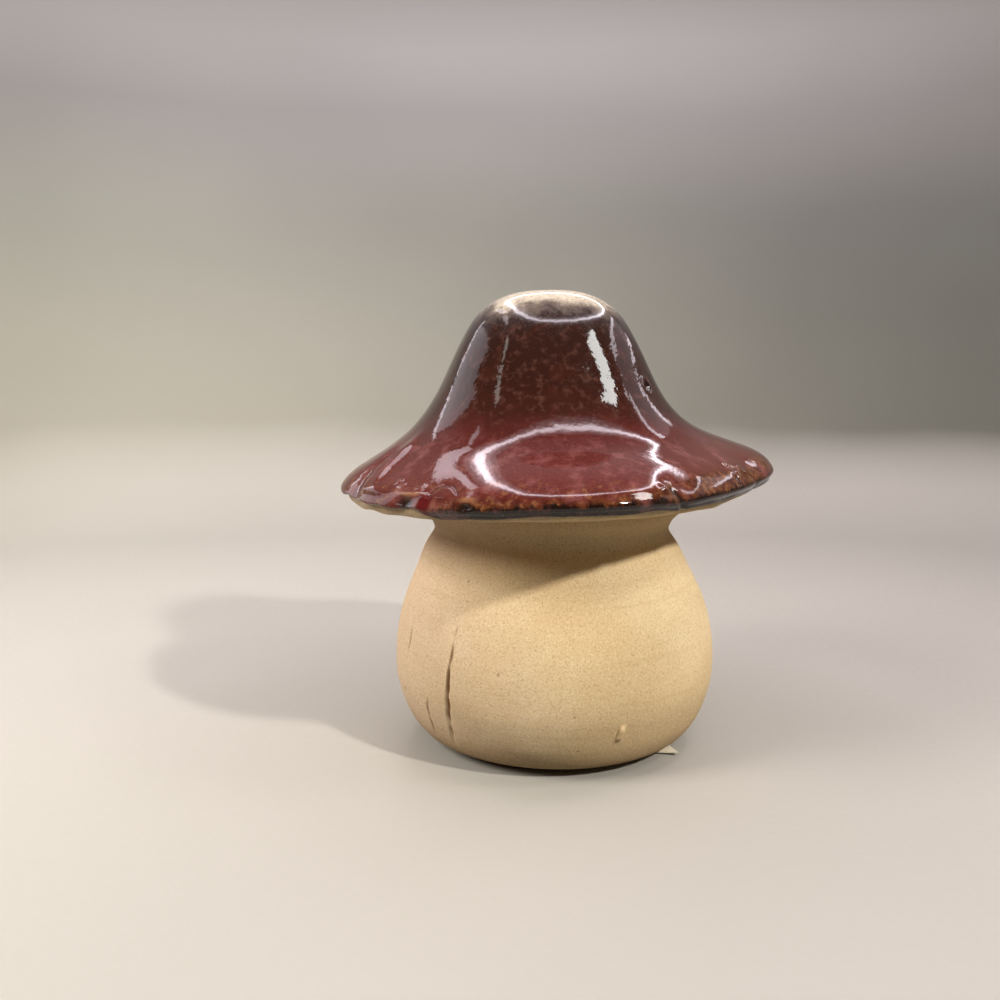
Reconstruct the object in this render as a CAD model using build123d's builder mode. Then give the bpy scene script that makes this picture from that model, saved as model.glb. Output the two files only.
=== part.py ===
"""A stoneware mushroom ornament: a bare thrown stem under a glazed cap that lifts off.

The stem is a hollow pot with a round belly, a drawn-in neck and a flared rim.
The cap is a hollow shell with a folded brim, an open-centred underside and a short collar.
The collar drops into the neck, and the underside rests on the rim.
The rim and everything above it lean a little to the left.
Front is -Y, right is +X, up is +Z, and the origin is the middle of the flat base.
Lengths are in millimetres and angles in degrees.
"""

from build123d import *

import os
from math import cos, exp, hypot, radians, sin

# Stem, a thrown pot
foot_radius = 30.0
belly_radius = 50.5
belly_height = 26.0
neck_radius = 36.8
neck_height = 67.5
rim_radius = 42.0
rim_trim = 2.5
stem_wall = 6.0
floor_thickness = 7.0

# Scored cuts in the stem's left front
cut_width = 1.3
cut_depth = 0.9

# Rim and seat of the cap
seat_height = 76.5
cap_lean = 0.8
cap_shift = 1.8
rim_round = 1.2

# Cap, measured from its seat
cap_height = 63.5
brim_radius = 66.0
cap_wall = 6.0
glaze_thickness = 0.7
bead_thickness = 1.3
brim_depth = 9.0
underside_rise = 1.7
underside_thickness = 5.0
seat_radius = 43.0

# Collar under the cap
collar_clearance = 0.8
collar_wall = 4.7
collar_depth = 10.0
collar_bevel = 1.0

# Label stuck under the foot
label_reach = 44.4
label_angle = -33.5
label_turn = -5.0
label_side = 14.0
label_thickness = 0.3
label_tip_height = 0.75
label_sweep = 50.0

# Cutting tools run past what they cut by this much
overrun = 20.0

# Outer line of the stem: shares of the way out and up between the named sizes
foot_to_belly_shares = (
    (0.0, 0.0),
    (0.146, 0.027),
    (0.390, 0.069),
    (0.585, 0.135),
    (0.702, 0.231),
    (0.810, 0.365),
    (0.902, 0.538),
    (0.980, 0.769),
)
belly_to_neck_shares = ((0.0, 0.0), (0.089, 0.272), (0.289, 0.494), (0.593, 0.716), (0.852, 0.889))
neck_to_rim_shares = ((0.0, 0.0), (0.1, 0.12), (0.27, 0.26), (0.6, 0.42), (0.85, 0.6), (1.0, 1.0))

# Paths of the scored cuts: compass angle, then height as a share of belly_height
long_cut_shares = (
    (-128.8, 1.738),
    (-129.0, 1.492),
    (-129.9, 1.246),
    (-129.8, 1.035),
    (-130.0, 0.773),
    (-130.8, 0.538),
    (-131.6, 0.296),
)
short_cut_shares = ((-140.6, 0.75), (-141.4, 0.6), (-141.2, 0.504), (-142.0, 0.342))
faint_cut_shares = ((-153.3, 1.588), (-153.5, 1.4), (-154.0, 1.196))
cut_size_shares = (1.0, 0.6, 0.5)

# Where the label is stuck: shares of the way between the foot's second and third points
label_glue_shares = (0.15, 0.8)

# Outer line of the cap from the top to the bead: shares of brim_radius and cap_height
crown_shares = (
    (0.0, 1.0),
    (0.136, 0.992),
    (0.242, 0.954),
    (0.318, 0.891),
    (0.388, 0.787),
    (0.438, 0.694),
    (0.482, 0.598),
    (0.532, 0.499),
    (0.597, 0.408),
    (0.671, 0.337),
    (0.759, 0.280),
    (0.850, 0.231),
    (0.944, 0.178),
    (1.0, 0.124),
    (1.012, 0.093),
    (0.992, 0.069),
)
crown_ring_count = 26
bead_start_share = 0.75

# Bare clay below the bead: shares of the way in from brim_radius and up to cap_height
lip_shares = ((0.968, 0.052), (0.944, 0.042), (0.909, 0.035))
under_ring_share = 0.36

# Waves of the brim: how many round it, then cosine and sine shares of reach and of lift
brim_wave_shares = (
    (1, 0.0248, 0.0130, 0.0159, 0.0032),
    (2, -0.0017, 0.0080, -0.0139, -0.0086),
    (3, 0.0205, 0.0248, 0.0050, -0.0038),
    (4, 0.0150, 0.0279, 0.0094, 0.0038),
)

# Pinched folds of the brim: compass angle and half width, then the share by which they sink
brim_folds_share = (
    (-19.0, 6.0, 0.014),
    (-60.0, 6.0, 0.014),
    (-105.0, 5.0, 0.009),
    (-120.0, 5.0, 0.010),
    (-158.0, 8.0, 0.018),
    (28.0, 7.0, 0.014),
    (71.0, 6.0, 0.012),
    (112.0, 7.0, 0.014),
    (150.0, 6.0, 0.012),
)
fold_start_share = 0.52
ring_points = 72


def between(start, end, share):
    """The value that lies this share of the way from start to end."""
    return start + (end - start) * share


def smooth_step(value):
    """0 below 0, 1 above 1 and a smooth rise between them."""
    value = min(max(value, 0.0), 1.0)
    return value * value * (3 - 2 * value)


def inset(stations, depths):
    """The same line moved inwards by each station's depth, square to itself."""
    moved = []
    for index, (radius, height) in enumerate(stations):
        before = stations[max(index - 1, 0)]
        after = stations[min(index + 1, len(stations) - 1)]
        run = after[0] - before[0]
        rise = after[1] - before[1]
        length = hypot(run, rise)
        depth = depths[index]
        moved.append((radius + rise / length * depth, height - run / length * depth))
    return moved


# The rim is drawn past the seat and then trimmed off along it
rim_height = seat_height + rim_trim
# The underside fills the brim from inside, up to brim_depth from its edge
hollow_radius = brim_radius - brim_depth

# The stem's outer line from the foot to the rim
stem_line = [
    (between(foot_radius, belly_radius, out), between(0, belly_height, up))
    for out, up in foot_to_belly_shares
]
stem_line += [
    (between(belly_radius, neck_radius, out), between(belly_height, neck_height, up))
    for out, up in belly_to_neck_shares
]
stem_line += [
    (between(neck_radius, rim_radius, out), between(neck_height, rim_height, up))
    for out, up in neck_to_rim_shares
]



def stem_radius(height):
    """The stem's outer radius at this height, along straight runs between its points."""
    for (inner_out, low), (outer_out, high) in zip(stem_line, stem_line[1:]):
        if low <= height <= high:
            return between(inner_out, outer_out, (height - low) / (high - low))
    return rim_radius


def scored_cut(path, size_share):
    """A long three-sided blade along a path on the stem, pointed at both ends."""
    tips = []
    blades = []
    for index, (angle, height_share) in enumerate(path):
        height = height_share * belly_height
        surface = stem_radius(height)
        turn = radians(angle)
        if index in (0, len(path) - 1):
            tips.append(Vertex(surface * cos(turn), surface * sin(turn), height))
            continue
        depth = cut_depth * size_share
        outer = surface + depth
        half_turn = cut_width * size_share / surface
        corners = ((surface - depth, turn), (outer, turn - half_turn), (outer, turn + half_turn))
        points = [(out * cos(way), out * sin(way), height) for out, way in corners]
        blades.append(Wire.make_polygon(points, close=True))
    return Solid.make_loft([tips[0]] + blades + [tips[1]], ruled=True)


# The cap leans to the left about the middle of its seat
lean_cos = cos(radians(cap_lean))
lean_sin = sin(radians(cap_lean))
seat = Plane(
    origin=(-cap_shift, 0, seat_height),
    x_dir=(lean_cos, 0, lean_sin),
    z_dir=(-lean_sin, 0, lean_cos),
)
seat_axis = Axis(seat.origin, seat.z_dir)
seat_section = Plane(origin=seat.origin, x_dir=seat.x_dir, z_dir=(0, -1, 0))
bore_radius = neck_radius - stem_wall
bore_depth = seat_height - neck_height + collar_depth

# The stem: outer form, cut off along the seat, then hollowed and bored for the collar
with BuildPart() as stem_pot:
    with BuildSketch(Plane.XZ):
        with BuildLine():
            outer_line = Spline(*stem_line)
            Polyline(outer_line @ 1, (0, rim_height), (0, 0), outer_line @ 0)
        make_face()
    revolve(axis=Axis.Z)
    split(bisect_by=seat, keep=Keep.BOTTOM)
    rim_edge = stem_pot.edges().sort_by(seat_axis)[-1]
    fillet(rim_edge, radius=rim_round)
    for path, size_share in zip((long_cut_shares, short_cut_shares, faint_cut_shares), cut_size_shares):
        add(scored_cut(path, size_share), mode=Mode.SUBTRACT)
    # The hollow follows the outer line one wall further in, down to the floor
    inner_line = [
        (radius, height)
        for radius, height in inset(stem_line, [-stem_wall] * len(stem_line))
        if floor_thickness + stem_wall < height < neck_height - bore_depth / 2
    ]
    with BuildSketch(Plane.XZ):
        with BuildLine():
            hollow_line = Spline((foot_radius, floor_thickness), *inner_line)
            Polyline(
                hollow_line @ 1,
                (bore_radius, neck_height),
                (0, neck_height),
                (0, floor_thickness),
                hollow_line @ 0,
            )
        make_face()
    revolve(axis=Axis.Z, mode=Mode.SUBTRACT)
    with BuildSketch(seat.offset(overrun)):
        Circle(bore_radius)
    extrude(amount=-bore_depth - overrun, mode=Mode.SUBTRACT)

# The cap's glazed line, evenly spaced, and the clay line that lies under the glaze
with BuildLine() as crown_line:
    Spline(*[(out * brim_radius, up * cap_height) for out, up in crown_shares])
crown_edge = crown_line.edges()[0]
glazed_line = []
for step in range(crown_ring_count + 1):
    point = crown_edge @ (step / crown_ring_count)
    glazed_line.append((point.X, point.Y))
glaze_depths = []
for step in range(crown_ring_count + 1):
    bead_share = (step / crown_ring_count - bead_start_share) / (1 - bead_start_share)
    glaze_depths.append(between(glaze_thickness, bead_thickness, smooth_step(bead_share)))
clay_line = inset(glazed_line, glaze_depths)
lip_line = [(out * brim_radius, up * cap_height) for out, up in lip_shares]


def cap_ring(radius, height, fold_start):
    """One closed ring round the cap, with the waves and folds growing towards the brim."""
    weight = smooth_step((radius - fold_start) / (brim_radius - fold_start))
    points = []
    for step in range(ring_points):
        angle = 360 * step / ring_points
        reach = 0.0
        lift = 0.0
        for count, reach_cos, reach_sin, lift_cos, lift_sin in brim_wave_shares:
            wave_cos = cos(radians(count * angle))
            wave_sin = sin(radians(count * angle))
            reach += (reach_cos * wave_cos + reach_sin * wave_sin) * brim_radius
            lift += (lift_cos * wave_cos + lift_sin * wave_sin) * brim_radius
        for centre, half_width, sink in brim_folds_share:
            away = (angle - centre + 180) % 360 - 180
            depth = sink * brim_radius * exp(-((away / half_width) ** 2))
            reach -= depth
            lift -= depth / 2
        out = radius + weight * reach
        local = (out * cos(radians(angle)), out * sin(radians(angle)), height + weight * lift)
        points.append(seat.from_local_coords(Vector(*local)))
    with BuildLine() as ring:
        Spline(*points, periodic=True)
    return ring.wire()


def axis_vertex(height):
    """A point on the cap's axis at this height above the seat."""
    return Vertex(*seat.from_local_coords(Vector(0, 0, height)))


fold_start = fold_start_share * brim_radius
glaze_rings = [cap_ring(radius, height, fold_start) for radius, height in glazed_line[1:]]
clay_rings = [cap_ring(radius, height, fold_start) for radius, height in clay_line[1:]]
lip_rings = [cap_ring(radius, height, hollow_radius) for radius, height in lip_line]
under_radius = between(hollow_radius, seat_radius, under_ring_share)
under_height = between(underside_rise, 0, under_ring_share)
under_ring = cap_ring(under_radius, under_height, hollow_radius)
glaze_top = axis_vertex(cap_height)
clay_top = axis_vertex(cap_height - glaze_thickness)

# The glaze: a thin coat over the crown that ends in a thicker bead at the lip
with BuildPart() as cap_glaze:
    add(Solid.make_loft([glaze_top] + glaze_rings + clay_rings[::-1] + [clay_top], ruled=True))

# The section that the underside shares with the crown, and the hollow above it
underside_top = underside_rise + underside_thickness
shoulder_radius = hollow_radius - underside_thickness / 2
dome_line = [
    (radius, height)
    for radius, height in inset(clay_line, [cap_wall] * len(clay_line))
    if height > underside_top and radius < shoulder_radius
]

# The crown: the folded clay form, hollowed out, with the underside's place left open
with BuildPart() as cap_crown:
    form = [clay_top] + clay_rings + lip_rings + [under_ring, axis_vertex(under_height)]
    add(Solid.make_loft(form, ruled=True))
    with BuildSketch(seat_section):
        with BuildLine():
            dome = Spline((0, cap_height - glaze_thickness - cap_wall), *dome_line[1:])
            Polyline(
                dome @ 1,
                (shoulder_radius, underside_top),
                (hollow_radius, underside_rise),
                (hollow_radius, -overrun),
                (0, -overrun),
                dome @ 0,
            )
        make_face()
    revolve(axis=seat_axis, mode=Mode.SUBTRACT)

# The underside: a dished ring that closes the brim and rests on the stem's rim
collar_outer = bore_radius - collar_clearance
collar_inner = collar_outer - collar_wall
with BuildPart() as cap_underside:
    with BuildSketch(seat_section):
        with BuildLine():
            Polyline(
                (collar_inner, 0),
                (seat_radius, 0),
                (hollow_radius, underside_rise),
                (shoulder_radius, underside_top),
                (seat_radius, underside_thickness),
                (collar_inner, underside_thickness),
                close=True,
            )
        make_face()
    revolve(axis=seat_axis)

# The collar that keeps the cap on the stem
with BuildPart() as cap_collar:
    with BuildSketch(seat):
        Circle(collar_outer)
        Circle(collar_inner, mode=Mode.SUBTRACT)
    extrude(amount=-collar_depth)
    collar_end = cap_collar.faces().sort_by(seat_axis)[0]
    chamfer(collar_end.outer_wire().edges(), length=collar_bevel)

# The label: a paper corner stuck under the foot that curls out past it
second_point = stem_line[1]
third_point = stem_line[2]
glue_points = [
    (between(second_point[0], third_point[0], share), between(second_point[1], third_point[1], share))
    for share in label_glue_shares
]
label_start = radians(label_angle - label_sweep / 2)
label_section = Plane(
    origin=(0, 0, 0),
    x_dir=(cos(label_start), sin(label_start), 0),
    z_dir=(sin(label_start), -cos(label_start), 0),
)
label_corner = (
    label_reach * cos(radians(label_angle)),
    label_reach * sin(radians(label_angle)),
)
label_plane = Plane(
    origin=(*label_corner, 0),
    x_dir=(cos(radians(label_turn)), sin(radians(label_turn)), 0),
    z_dir=(0, 0, 1),
)
with BuildPart() as base_label:
    with BuildSketch(label_section):
        with BuildLine():
            Polyline(
                (glue_points[0][0], glue_points[0][1] - label_thickness),
                (glue_points[1][0], glue_points[1][1] - label_thickness),
                (label_reach + label_thickness, label_tip_height),
                (label_reach + label_thickness, label_tip_height + label_thickness),
                (glue_points[1][0], glue_points[1][1]),
                (glue_points[0][0], glue_points[0][1] + label_thickness),
                close=True,
            )
        make_face()
    revolve(axis=Axis.Z, revolution_arc=label_sweep)
    with BuildSketch(label_plane):
        Rectangle(label_side, label_side, align=(Align.MAX, Align.MIN))
    extrude(amount=belly_height, mode=Mode.INTERSECT)
    add(stem_pot.part, mode=Mode.SUBTRACT)

os.makedirs("parts", exist_ok=True)
stem_pot.part.label = "stem_pot"
export_step(stem_pot.part, "parts/stem_pot.step")
cap_glaze.part.label = "cap_glaze"
export_step(cap_glaze.part, "parts/cap_glaze.step")
cap_crown.part.label = "cap_crown"
export_step(cap_crown.part, "parts/cap_crown.step")
cap_underside.part.label = "cap_underside"
export_step(cap_underside.part, "parts/cap_underside.step")
cap_collar.part.label = "cap_collar"
export_step(cap_collar.part, "parts/cap_collar.step")
base_label.part.label = "base_label"
export_step(base_label.part, "parts/base_label.step")
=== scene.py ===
from math import cos, pi, radians, sin

import bpy
import numpy as np
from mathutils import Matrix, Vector


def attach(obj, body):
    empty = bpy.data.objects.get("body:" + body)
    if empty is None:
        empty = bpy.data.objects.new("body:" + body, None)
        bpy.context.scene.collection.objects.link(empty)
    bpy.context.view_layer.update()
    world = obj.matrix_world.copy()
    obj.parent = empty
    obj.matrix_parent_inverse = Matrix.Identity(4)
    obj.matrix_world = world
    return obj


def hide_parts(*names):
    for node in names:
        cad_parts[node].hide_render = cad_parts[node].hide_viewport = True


# The looks of a stoneware mushroom ornament: bare thrown stem, glazed cap with a folded brim.
# Lengths are in millimetres until a mesh is made. Angles are in degrees from +X: the front is -90.

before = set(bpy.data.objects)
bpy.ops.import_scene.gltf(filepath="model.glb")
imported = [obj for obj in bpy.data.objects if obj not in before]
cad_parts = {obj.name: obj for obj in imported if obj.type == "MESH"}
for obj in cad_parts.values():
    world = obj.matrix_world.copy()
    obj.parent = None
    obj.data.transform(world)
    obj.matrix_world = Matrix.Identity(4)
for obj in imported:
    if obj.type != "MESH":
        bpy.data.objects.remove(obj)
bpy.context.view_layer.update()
METRES = 0.001

# ---------------------------------------------------------------- camera
scene = bpy.context.scene
scene.view_settings.view_transform = "Standard"
camera_data = bpy.data.cameras.new("camera")
camera_data.sensor_width = 36.0
camera_data.lens = 37.73
camera = bpy.data.objects.new("camera", camera_data)
camera.location = (-0.01723, -0.3269, 0.1277)
camera.rotation_euler = (radians(80.83), 0, 0)
scene.collection.objects.link(camera)
scene.camera = camera

# ---------------------------------------------------------------- sizes shared with the CAD
BRIM_RADIUS = 66.0
CAP_HEIGHT = 63.5
SEAT_HEIGHT = 76.5
CAP_SHIFT = 1.8
LEAN = radians(0.8)
GLAZE_DEPTH = 0.7
BEAD_DEPTH = 1.3
BEAD_START = 0.75
HOLLOW_RADIUS = 57.0
FOLD_START = 0.52 * BRIM_RADIUS
BORE_RADIUS = 30.8
BORE_ROUND = 0.5
STEM_WALL = 6.0
CAP_WALL = 6.0
# How far the upper stem stands to the left of the foot
STEM_SHIFT = 1.0
# The rim's reach: where its curve meets the seat, its outer corner, and its flat land
RIM_REACH = 41.2
RIM_CORNER = 41.35
RIM_LAND = 40.0
# Where the inside of the foot ends, in its middle
FLOOR_LEVEL = 7.35

STEM_LINE = (
    (30.0, 0.0), (32.99, 0.70), (38.0, 1.79), (41.99, 3.51), (44.39, 6.01), (46.61, 9.49),
    (48.49, 13.99), (50.09, 19.99), (50.5, 26.0), (49.28, 37.29), (46.54, 46.50), (42.38, 55.71),
    (38.83, 62.89), (36.8, 67.5), (37.32, 68.88), (38.2, 70.49), (39.92, 72.33), (41.22, 74.4),
    (42.0, 79.0),
)
CROWN_LINE = (
    (0.0, 1.0), (0.136, 0.992), (0.242, 0.954), (0.318, 0.891), (0.388, 0.787), (0.438, 0.694),
    (0.482, 0.598), (0.532, 0.499), (0.597, 0.408), (0.671, 0.337), (0.759, 0.280), (0.850, 0.231),
    (0.944, 0.178), (1.0, 0.124), (1.012, 0.093), (0.992, 0.069),
)
# How many waves round the brim, then cosine and sine shares of reach and of lift
BRIM_WAVES = (
    (1, 0.0248, 0.0130, 0.0159, 0.0032),
    (2, -0.0017, 0.0080, -0.0139, -0.0086),
    (3, 0.0205, 0.0248, 0.0050, -0.0038),
    (4, 0.0150, 0.0279, 0.0094, 0.0038),
)
# Angle, half width and sink of each fold of the brim
BRIM_FOLDS = (
    (-19.0, 6.0, 0.014), (-60.0, 6.0, 0.014), (-105.0, 5.0, 0.009), (-120.0, 5.0, 0.010),
    (-158.0, 8.0, 0.018), (28.0, 7.0, 0.014), (71.0, 6.0, 0.012), (112.0, 7.0, 0.014),
    (150.0, 6.0, 0.012),
)


# ---------------------------------------------------------------- small helpers
def smooth(value):
    """0 below 0, 1 above 1 and a smooth rise between them."""
    value = np.clip(value, 0.0, 1.0)
    return value * value * (3 - 2 * value)


def bell(value):
    """A soft bump of height 1, centred on 0 and one unit wide to each side."""
    return np.exp(-value * value)


def turn_away(angles, centre):
    """How far each angle lies from the centre, between -180 and 180."""
    return (angles - centre + 180.0) % 360.0 - 180.0


def smooth_line(points, shares):
    """Places on a smooth curve through the points, at these shares of its length."""
    points = np.asarray(points, float)
    steps = np.hypot(*np.diff(points, axis=0).T)
    knots = np.concatenate([[0.0], np.cumsum(steps)])
    count = len(knots)
    matrix = np.eye(count)
    right = np.zeros((count, 2))
    for i in range(1, count - 1):
        matrix[i, i - 1:i + 2] = steps[i - 1], 2 * (steps[i - 1] + steps[i]), steps[i]
        right[i] = 6 * (
            (points[i + 1] - points[i]) / steps[i] - (points[i] - points[i - 1]) / steps[i - 1]
        )
    bends = np.linalg.solve(matrix, right)
    at = np.clip(np.asarray(shares, float), 0, 1) * knots[-1]
    cell = np.clip(np.searchsorted(knots, at, side="right") - 1, 0, count - 2)
    width = steps[cell][..., None]
    a = (knots[cell + 1] - at)[..., None]
    b = (at - knots[cell])[..., None]
    return (
        (bends[cell] * a ** 3 + bends[cell + 1] * b ** 3) / (6 * width)
        + (points[cell] / width - bends[cell] * width / 6) * a
        + (points[cell + 1] / width - bends[cell + 1] * width / 6) * b
    )


def soft_noise(seed, rows, columns, row_waves, turns, size):
    """Smooth noise over a sheet. Rows is any measure. Columns are angles, so it closes round."""
    source = np.random.default_rng(seed)
    total = np.zeros(np.broadcast(rows, columns).shape)
    for _ in range(size):
        around = source.integers(0, turns + 1)
        along = source.normal(0, row_waves)
        phase = source.uniform(0, 2 * pi)
        total = total + np.sin(around * np.radians(columns) + along * rows + phase)
    return total / np.sqrt(size / 2)


def spread_angles(coarse, fine, zones):
    """Angles once round, from -180 to 180, closer together inside the zones."""
    angles = []
    angle = -180.0
    while angle < 180.0 - fine * 0.5:
        angles.append(angle)
        inside = any(low <= angle <= high for low, high in zones)
        angle += fine if inside else coarse
    return np.array(angles)


def flat_ring(reach, level, angles):
    """A level circle of points about the upright axis."""
    turn = np.radians(angles)
    return np.stack([reach * np.cos(turn), reach * np.sin(turn), np.full(len(angles), level)], -1)


def round_mesh(name, rings, ends, body, node, material, marks=None):
    """A closed skin from rings of points, in millimetres, with a pole at each end."""
    rows, columns = rings.shape[:2]
    points = np.concatenate([ends[0][None], rings.reshape(-1, 3), ends[1][None]])
    first = 1 + np.arange(columns)
    after = np.roll(first, -1)
    last = first + (rows - 1) * columns
    last_after = after + (rows - 1) * columns
    lift = (np.arange(rows - 1) * columns)[:, None]
    sides = [first + lift, after + lift, after + columns + lift, first + columns + lift]
    quads = np.stack(sides, -1).reshape(-1, 4)
    top = np.stack([np.zeros_like(first), after, first], -1)
    bottom = np.stack([np.full_like(last, len(points) - 1), last, last_after], -1)
    corners = points[top]
    volume = np.einsum("ij,ij->", corners[:, 0], np.cross(corners[:, 1], corners[:, 2]))
    halves = np.concatenate([quads[:, :3], quads[:, [0, 2, 3]]])
    for faces in (halves, bottom):
        corners = points[faces]
        volume += np.einsum("ij,ij->", corners[:, 0], np.cross(corners[:, 1], corners[:, 2]))
    faces = quads.tolist() + top.tolist() + bottom.tolist()
    if volume < 0:
        faces = [face[::-1] for face in faces]
    mesh = bpy.data.meshes.new(name)
    mesh.from_pydata((points * METRES).tolist(), [], faces)
    mesh.polygons.foreach_set("use_smooth", np.ones(len(faces), bool))
    for mark, values in (marks or {}).items():
        kind = "FLOAT_VECTOR" if values.ndim == 3 else "FLOAT"
        layer = mesh.attributes.new(mark, kind, "POINT")
        flat = values.reshape(rows * columns, -1)
        flat = np.concatenate([flat[:1], flat, flat[-1:]])
        layer.data.foreach_set("vector" if values.ndim == 3 else "value", flat.ravel())
    mesh.update()
    piece = bpy.data.objects.new(name, mesh)
    scene.collection.objects.link(piece)
    mesh.materials.append(material)
    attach(piece, body)
    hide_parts(node)


# ---------------------------------------------------------------- materials
def tone(red, green, blue):
    """A colour as it looks on a screen, 0 to 255, in the linear values that Blender takes."""
    shares = np.array([red, green, blue]) / 255.0
    linear = np.where(shares <= 0.04045, shares / 12.92, ((shares + 0.055) / 1.055) ** 2.4)
    return (*linear.tolist(), 1.0)


class Finish:
    """One procedural material, with short names for the nodes it is made of."""

    def __init__(self, name):
        self.material = bpy.data.materials.new(name)
        self.material.use_nodes = True
        self.tree = self.material.node_tree
        self.shader = self.tree.nodes["Principled BSDF"]
        coordinates = self.tree.nodes.new("ShaderNodeTexCoord")
        scaled = self.tree.nodes.new("ShaderNodeVectorMath")
        scaled.operation = "SCALE"
        scaled.inputs["Scale"].default_value = 1 / METRES
        self.tree.links.new(coordinates.outputs["Object"], scaled.inputs[0])
        self.place = scaled.outputs[0]

    def join(self, socket, value):
        """Links an output to a socket, or sets the socket to a plain value."""
        if isinstance(value, bpy.types.NodeSocket):
            self.tree.links.new(value, socket)
        else:
            socket.default_value = value

    def stretch(self, vector, by):
        """The same coordinates, stretched along each axis."""
        node = self.tree.nodes.new("ShaderNodeVectorMath")
        node.operation = "MULTIPLY"
        self.join(node.inputs[0], vector)
        node.inputs[1].default_value = by
        return node.outputs[0]

    def noise(self, size, detail=2.0, vector=None, rough=0.5, warp=0.0):
        """Noise whose blotches are about this many millimetres wide."""
        node = self.tree.nodes.new("ShaderNodeTexNoise")
        self.join(node.inputs["Vector"], self.place if vector is None else vector)
        node.inputs["Scale"].default_value = 1 / size
        node.inputs["Detail"].default_value = detail
        node.inputs["Roughness"].default_value = rough
        node.inputs["Distortion"].default_value = warp
        return node.outputs["Fac"]

    def specks(self, spacing, size, share):
        """1 inside scattered dots and 0 outside. The share says how many cells have one."""
        node = self.tree.nodes.new("ShaderNodeTexVoronoi")
        self.join(node.inputs["Vector"], self.place)
        node.inputs["Scale"].default_value = 1 / spacing
        near = self.fade(node.outputs["Distance"], size / spacing, size / spacing * 0.5)
        parts = self.tree.nodes.new("ShaderNodeSeparateColor")
        self.join(parts.inputs[0], node.outputs["Color"])
        chosen = self.fade(parts.outputs[0], share, share - 0.02)
        return self.times(near, chosen)

    def fade(self, value, low, high, start=0.0, end=1.0):
        """Maps low to start and high to end, smoothly and without going past them."""
        node = self.tree.nodes.new("ShaderNodeMapRange")
        node.interpolation_type = "SMOOTHSTEP"
        if low > high:
            low, high, start, end = high, low, end, start
        self.join(node.inputs["Value"], value)
        spans = {"From Min": low, "From Max": high, "To Min": start, "To Max": end}
        for key, number in spans.items():
            node.inputs[key].default_value = number
        return node.outputs[0]

    def sum(self, kind, one, two):
        """One step of arithmetic on two values, such as ADD or SUBTRACT."""
        node = self.tree.nodes.new("ShaderNodeMath")
        node.operation = kind
        self.join(node.inputs[0], one)
        self.join(node.inputs[1], two)
        return node.outputs[0]

    def times(self, one, two):
        """The product of two values."""
        return self.sum("MULTIPLY", one, two)

    def wobble(self, value, noise, by):
        """The value pushed up and down by a noise, by this much at most."""
        swing = self.times(self.sum("SUBTRACT", noise, 0.5), 2 * by)
        return self.sum("ADD", value, swing)

    def mix(self, share, one, two):
        """Colour one, turning into colour two as the share goes from 0 to 1."""
        node = self.tree.nodes.new("ShaderNodeMix")
        node.data_type = "RGBA"
        sockets = {s.identifier: s for s in node.inputs}
        self.join(sockets["Factor_Float"], share)
        self.join(sockets["A_Color"], one)
        self.join(sockets["B_Color"], two)
        return next(s for s in node.outputs if s.identifier == "Result_Color")

    def ramp(self, value, *stops):
        """A colour ramp: (position, colour) stops."""
        node = self.tree.nodes.new("ShaderNodeValToRGB")
        line = node.color_ramp
        line.elements[0].position, line.elements[0].color = stops[0]
        line.elements[1].position, line.elements[1].color = stops[-1]
        for position, colour in stops[1:-1]:
            line.elements.new(position).color = colour
        self.join(node.inputs[0], value)
        return node.outputs[0]

    def mark(self, name, kind="Fac"):
        """A value that the mesh carries at each point."""
        node = self.tree.nodes.new("ShaderNodeAttribute")
        node.attribute_name = name
        return node.outputs[kind]

    def axis(self, index):
        """The place along x, y or z, in millimetres."""
        node = self.tree.nodes.new("ShaderNodeSeparateXYZ")
        self.join(node.inputs[0], self.place)
        return node.outputs[index]

    def bump(self, height, depth, below=None):
        """Relief whose height 1 stands this many millimetres proud."""
        node = self.tree.nodes.new("ShaderNodeBump")
        node.inputs["Distance"].default_value = depth * METRES
        self.join(node.inputs["Height"], height)
        if below is not None:
            self.join(node.inputs["Normal"], below)
        return node.outputs[0]

    def finish(self, colour, roughness, normal, **plain):
        """Joins the colour, roughness and relief to the shader, and sets its plain values."""
        self.join(self.shader.inputs["Base Color"], colour)
        self.join(self.shader.inputs["Roughness"], roughness)
        self.join(self.shader.inputs["Normal"], normal)
        for key, number in plain.items():
            self.shader.inputs[key.replace("_", " ")].default_value = number
        return self.material


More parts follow.
